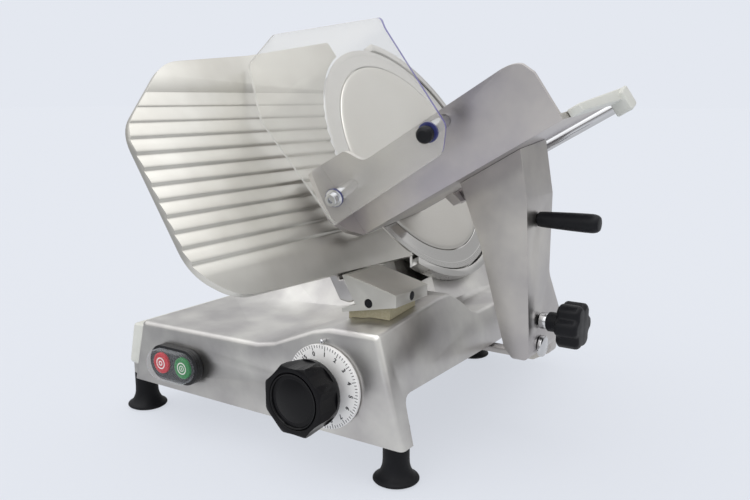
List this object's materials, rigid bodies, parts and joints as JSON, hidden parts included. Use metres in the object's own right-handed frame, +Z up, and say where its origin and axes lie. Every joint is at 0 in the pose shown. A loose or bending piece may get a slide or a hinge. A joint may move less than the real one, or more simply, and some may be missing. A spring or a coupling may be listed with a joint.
{
  "type": "electric gravity-feed food slicer",
  "caption": "Electric gravity-feed food slicer: a tilted round blade in a guard ring, a fluted gauge plate with a thickness dial, and a sliding food tray with a clear hand guard.",
  "frame": {"origin": "middle of the overall box at floor level, under the four feet", "axes": "+Z up, the operator stands at -Y, the food tray and its carriage are on the +X side and slide along Y"},
  "size_m": [0.5278, 0.6186, 0.4352],
  "materials": {
    "cast_aluminium": "satin anodised casting",
    "satin_aluminium": "fine brushed and anodised",
    "polished_steel": "polished",
    "black_plastic": "smooth matt",
    "black_rubber": "matt moulded",
    "cream_plastic": "smooth painted look",
    "clear_acrylic": "clear with cool edges",
    "clear_silicone": "clear moulded cover",
    "red_plastic": "smooth",
    "green_plastic": "smooth",
    "white_scale": "satin with black printing",
    "pale_seal": "pale felt-like pad"
  },
  "bodies": {
    "base": {"base_casting": "cast_aluminium", "blade_housing": "cast_aluminium", "blade_cover": "cast_aluminium", "slice_deflector": "polished_steel", "rear_bearing": "polished_steel", "front_bearing": "polished_steel", "drive_motor": "cast_aluminium", "drive_belt": "black_rubber", "front_right_foot": "black_rubber", "front_left_foot": "black_rubber", "rear_left_foot": "black_rubber", "rear_right_foot": "black_rubber", "bottom_plate": "satin_aluminium", "side_cover": "cream_plastic", "cable_gland": "black_plastic", "switch_bezel": "black_plastic", "contact_block": "black_plastic", "switch_cover": "clear_silicone", "index_pin": "polished_steel", "gauge_bar": "polished_steel", "slot_seal": "pale_seal", "slide_rod": "polished_steel", "guide_bar": "polished_steel"},
    "blade_unit": {"blade": "polished_steel", "blade_pulley": "cast_aluminium", "blade_spindle": "polished_steel"},
    "motor_rotor": {"motor_pulley": "cast_aluminium"},
    "cover_release": {"cover_tie_rod": "polished_steel", "cover_knob": "black_plastic"},
    "dial": {"dial_ring": "white_scale", "dial_knob": "black_plastic", "dial_knob_cap": "black_plastic", "dial_spindle": "polished_steel"},
    "gauge": {"gauge_plate": "satin_aluminium", "gauge_bracket": "cast_aluminium", "gauge_block": "cast_aluminium", "front_plug": "black_plastic", "side_plug": "black_plastic", "gauge_carrier": "cast_aluminium"},
    "stop_switch": {"stop_button": "red_plastic"},
    "start_switch": {"start_button": "green_plastic"},
    "carriage": {"carriage_slider": "cast_aluminium", "carriage_arm": "satin_aluminium", "food_tray": "satin_aluminium", "tray_end": "cream_plastic", "press_rod": "polished_steel", "hand_guard": "clear_acrylic", "guard_spacer_left": "polished_steel", "guard_spacer_right": "polished_steel", "guard_screw": "polished_steel", "lock_bush": "polished_steel", "arm_grip": "black_plastic", "arm_bolt": "polished_steel", "wheel_pin": "polished_steel"},
    "wheel": {"guide_wheel": "polished_steel"},
    "clamp_knob": {"lock_knob": "black_plastic"},
    "guard_clamp": {"guard_knob": "black_plastic"},
    "press_slider": {"press_bush": "black_plastic"},
    "press": {"food_press": "cast_aluminium", "press_handle": "black_plastic"}
  },
  "joints": [
    {"name": "blade_spin", "type": "hinge", "parent": "base", "child": "blade_unit", "pos_m": [-0.01026, 0.10674, 0.296], "axis": [0.866, 0, 0.5], "continuous": true},
    {"name": "motor_spin", "type": "hinge", "parent": "base", "child": "motor_rotor", "pos_m": [0.04224, 0.10674, 0.20507], "axis": [0.866, 0, 0.5], "continuous": true},
    {"name": "cover_knob_turn", "type": "hinge", "parent": "base", "child": "cover_release", "pos_m": [-0.01026, 0.10674, 0.296], "axis": [0.866, 0, 0.5], "range_deg": [0, 360]},
    {"name": "dial_turn", "type": "hinge", "parent": "base", "child": "dial", "pos_m": [0.04974, -0.16426, 0.092], "axis": [0, -1, 0], "range_deg": [0, 345]},
    {"name": "gauge_slide", "type": "slide", "parent": "base", "child": "gauge", "axis": [-1, 0, 0], "range_m": [0, 0.015]},
    {"name": "stop_press", "type": "slide", "parent": "base", "child": "stop_switch", "axis": [0, 1, 0], "range_m": [0, 0.003], "stiffness_N_per_m": 600, "springref_m": -0.002},
    {"name": "start_press", "type": "slide", "parent": "base", "child": "start_switch", "axis": [0, 1, 0], "range_m": [0, 0.003], "stiffness_N_per_m": 600, "springref_m": -0.002},
    {"name": "carriage_slide", "type": "slide", "parent": "base", "child": "carriage", "axis": [0, 1, 0], "range_m": [-0.09, 0.19]},
    {"name": "wheel_roll", "type": "hinge", "parent": "carriage", "child": "wheel", "pos_m": [0.07074, 0.06234, 0.1113], "axis": [-1, 0, 0], "continuous": true},
    {"name": "lock_turn", "type": "hinge", "parent": "carriage", "child": "clamp_knob", "pos_m": [0.22474, -0.00466, 0.146], "axis": [1, 0, 0], "range_deg": [0, 360]},
    {"name": "guard_knob_turn", "type": "hinge", "parent": "carriage", "child": "guard_clamp", "pos_m": [0.14099, -0.09433, 0.34623], "axis": [0.1294, -0.9659, -0.2241], "range_deg": [0, 360]},
    {"name": "press_slide", "type": "slide", "parent": "carriage", "child": "press_slider", "axis": [0.866, 0, 0.5], "range_m": [0, 0.165]},
    {"name": "press_swing", "type": "hinge", "parent": "press_slider", "child": "press", "pos_m": [0.03454, 0.08456, 0.2366], "axis": [-0.866, 0, -0.5], "range_deg": [0, 100]}
  ],
  "couplings": [
    {"joint": "motor_spin", "follows": "blade_spin", "ratio": 1.7778},
    {"joint": "dial_turn", "follows": "gauge_slide", "rad_per_m": 401.43},
    {"joint": "wheel_roll", "follows": "carriage_slide", "rad_per_m": 142.86}
  ]
}
